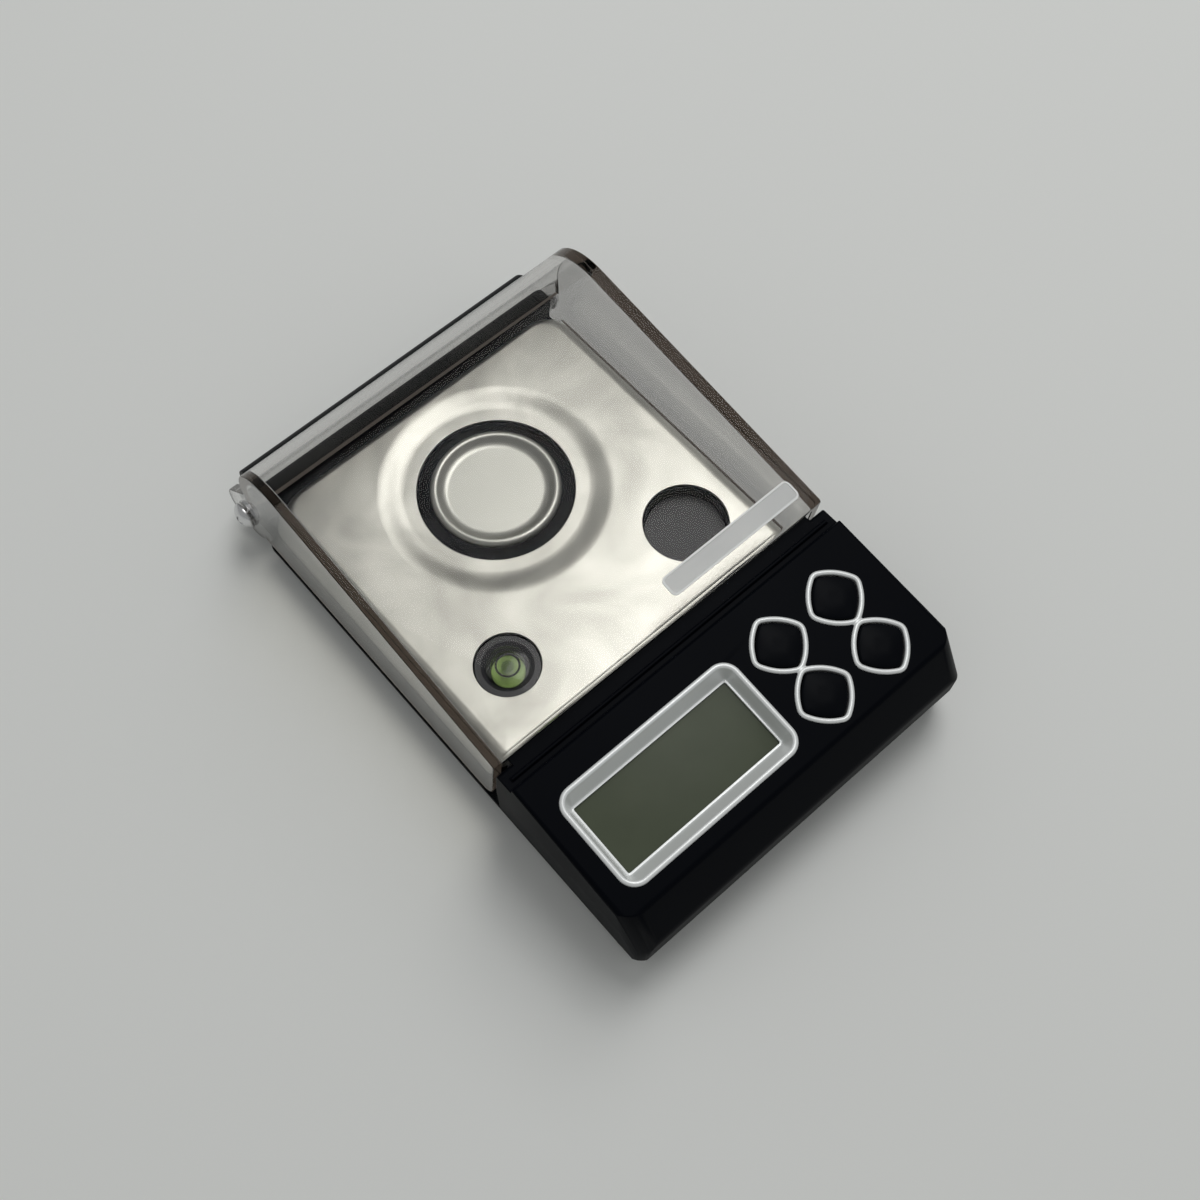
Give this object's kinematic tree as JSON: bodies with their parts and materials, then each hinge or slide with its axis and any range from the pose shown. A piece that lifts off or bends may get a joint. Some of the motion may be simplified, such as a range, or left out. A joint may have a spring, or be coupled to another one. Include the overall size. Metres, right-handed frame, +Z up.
{
  "type": "analytical balance",
  "caption": "Pocket milligram balance: sloped console with display and diamond keys, steel deck with round pan, spirit level and weight recess under a clear hinged draft hood.",
  "frame": {"origin": "middle of the bounding box on the table plane under the feet", "axes": "+X to the right of a user facing the display, +Y to the hinge at the rear, +Z up"},
  "size_m": [0.099, 0.1488, 0.0423],
  "materials": {
    "housing_lower": "fine moulded texture, satin",
    "housing_upper": "satin black with a navy cast",
    "stainless_sheet": "matte drawn stainless sheet",
    "level_cup": "black plastic",
    "clear_acrylic_vial": "clear acrylic",
    "level_spirit": "tinted spirit",
    "level_air": "air bubble",
    "level_ink": "printed ring",
    "silver_paint": "silver painted plastic",
    "lcd_glass": "reflective display glass, unlit",
    "light_guide": "white light guide",
    "elastomer": "elastomer connector",
    "board": "solder-resist green",
    "steel_screw": "plated",
    "switch_body": "moulded",
    "silver_trim": "silver painted plastic",
    "key_navy": "satin navy",
    "aluminium": "machined",
    "black_screw": "blackened steel",
    "silicone": "white silicone",
    "ribbon": "flat lead",
    "pan_steel": "spun stainless, bright rim",
    "smoky_acrylic": "clear moulded acrylic, faint smoky tint",
    "frosted_film": "frosted film, bare",
    "nickel": "nickel plated",
    "nylon": "nylon",
    "cell_sleeve": "plain sleeve",
    "contact_leaf": "nickel-plated spring strip",
    "foot_rubber": "soft rubber"
  },
  "bodies": {
    "base": {"lower_housing": "housing_lower", "upper_housing": "housing_upper", "deck_plate": "stainless_sheet", "level_cup": "level_cup", "level_vial": "clear_acrylic_vial", "level_fluid": "level_spirit", "level_bubble": "level_air", "level_ring": "level_ink", "lcd_bezel": "silver_paint", "lcd_panel": "lcd_glass", "lcd_backlight": "light_guide", "zebra_strip": "elastomer", "main_board": "board", "board_screws": "steel_screw", "tact_switches": "switch_body", "trim_left": "silver_trim", "trim_right": "silver_trim", "load_cell_block": "aluminium", "load_cell": "aluminium", "load_cell_screws": "black_screw", "gauge_coating": "silicone", "sensor_ribbon": "ribbon", "overload_screw": "black_screw", "pivot_screws": "nickel", "pivot_washers": "nylon", "battery_cells": "cell_sleeve", "battery_contacts": "contact_leaf", "rubber_feet": "foot_rubber", "case_screws": "black_screw"},
    "hood": {"hood": "smoky_acrylic", "hood_label": "frosted_film"},
    "pan": {"pan_carrier": "aluminium", "weighing_pan": "pan_steel"},
    "battery_door": {"battery_door": "housing_lower"},
    "key_left_front": {"key_left_front": "key_navy"},
    "key_left_rear": {"key_left_rear": "key_navy"},
    "key_right_front": {"key_right_front": "key_navy"},
    "key_right_rear": {"key_right_rear": "key_navy"}
  },
  "joints": [
    {"name": "hood_hinge", "type": "hinge", "parent": "base", "child": "hood", "pos_m": [0, 0.0639, 0.012], "axis": [-1, 0, 0], "range_deg": [0, 105]},
    {"name": "pan_sag", "type": "slide", "parent": "base", "child": "pan", "axis": [0, 0, -1], "range_m": [0, 0.00035], "stiffness_N_per_m": 900, "springref_m": -0.00012, "deforming": ["load_cell"]},
    {"name": "battery_door_slide", "type": "slide", "parent": "base", "child": "battery_door", "axis": [0, -1, 0], "range_m": [0, 0.026]},
    {"name": "key_left_front_press", "type": "slide", "parent": "base", "child": "key_left_front", "axis": [0, 0.1158, -0.9933], "range_m": [0, 0.0005], "stiffness_N_per_m": 1500, "springref_m": -0.0001},
    {"name": "key_left_rear_press", "type": "slide", "parent": "base", "child": "key_left_rear", "axis": [0, 0.1158, -0.9933], "range_m": [0, 0.0005], "stiffness_N_per_m": 1500, "springref_m": -0.0001},
    {"name": "key_right_front_press", "type": "slide", "parent": "base", "child": "key_right_front", "axis": [0, 0.1158, -0.9933], "range_m": [0, 0.0005], "stiffness_N_per_m": 1500, "springref_m": -0.0001},
    {"name": "key_right_rear_press", "type": "slide", "parent": "base", "child": "key_right_rear", "axis": [0, 0.1158, -0.9933], "range_m": [0, 0.0005], "stiffness_N_per_m": 1500, "springref_m": -0.0001}
  ]
}
